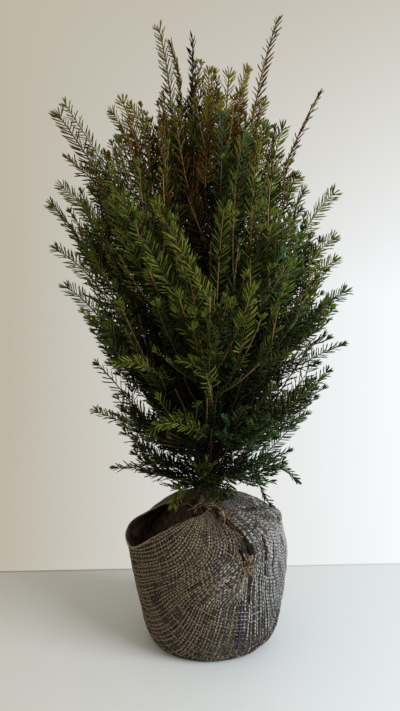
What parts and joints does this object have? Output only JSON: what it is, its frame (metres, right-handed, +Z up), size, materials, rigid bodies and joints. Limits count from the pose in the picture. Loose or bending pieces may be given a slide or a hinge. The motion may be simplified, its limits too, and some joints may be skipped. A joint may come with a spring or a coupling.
{
  "type": "yew sapling with wrapped root ball",
  "caption": "Dense young yew with a short stem, rising boughs and flat needle sprays, its ball of earth wrapped in coarse sacking, open at one side and rolled and knotted at the front.",
  "frame": {"origin": "middle of the flat underside of the wrapped root ball", "axes": "+Z up along the stem, +X to the right and +Y away as the plant is seen from its front, where the cloth is knotted"},
  "size_m": [0.5362, 0.5101, 1.1172],
  "materials": {
    "needles": "dark olive-green needles, waxy above",
    "bark": "thin scaly red-brown bark",
    "sacking": "open weave of coarse grey-brown yarn",
    "frayed_sacking": "tan yarn, rolled, knotted and frayed",
    "earth": "dark damp earth with fine roots"
  },
  "bodies": {
    "root": {"bough_leader_1": "bark", "bough_leader_2": "bark", "bough_leader_3": "bark", "bough_leader_4": "bark", "bough_leader_5": "bark", "bough_leader_6": "bark", "bough_leader_7": "bark", "bough_leader_8": "bark", "bough_leader_9": "bark", "bough_middle_1": "bark", "bough_middle_2": "bark", "bough_middle_3": "bark", "bough_middle_4": "bark", "bough_middle_5": "bark", "bough_middle_6": "bark", "bough_upper_1": "bark", "bough_upper_2": "bark", "bough_upper_3": "bark", "bough_upper_4": "bark", "bough_upper_5": "bark", "bough_upper_6": "bark", "foliage_leader_1": "needles", "foliage_leader_2": "needles", "foliage_leader_3": "needles", "foliage_leader_4": "needles", "foliage_leader_5": "needles", "foliage_leader_6": "needles", "foliage_leader_7": "needles", "foliage_leader_8": "needles", "foliage_leader_9": "needles", "foliage_lower_1": "needles", "foliage_lower_2": "needles", "foliage_lower_3": "needles", "foliage_lower_4": "needles", "foliage_lower_5": "needles", "foliage_lower_6": "needles", "foliage_middle_1": "needles", "foliage_middle_2": "needles", "foliage_middle_3": "needles", "foliage_middle_4": "needles", "foliage_middle_5": "needles", "foliage_middle_6": "needles", "foliage_skirt_1": "needles", "foliage_skirt_2": "needles", "foliage_skirt_3": "needles", "foliage_skirt_4": "needles", "foliage_skirt_5": "needles", "foliage_skirt_6": "needles", "foliage_upper_1": "needles", "foliage_upper_2": "needles", "foliage_upper_3": "needles", "foliage_upper_4": "needles", "foliage_upper_5": "needles", "foliage_upper_6": "needles", "frayed_end": "frayed_sacking", "rolled_corners": "frayed_sacking", "root_ball": "earth", "sacking_wrap": "sacking", "stem": "bark"}
  },
  "joints": []
}
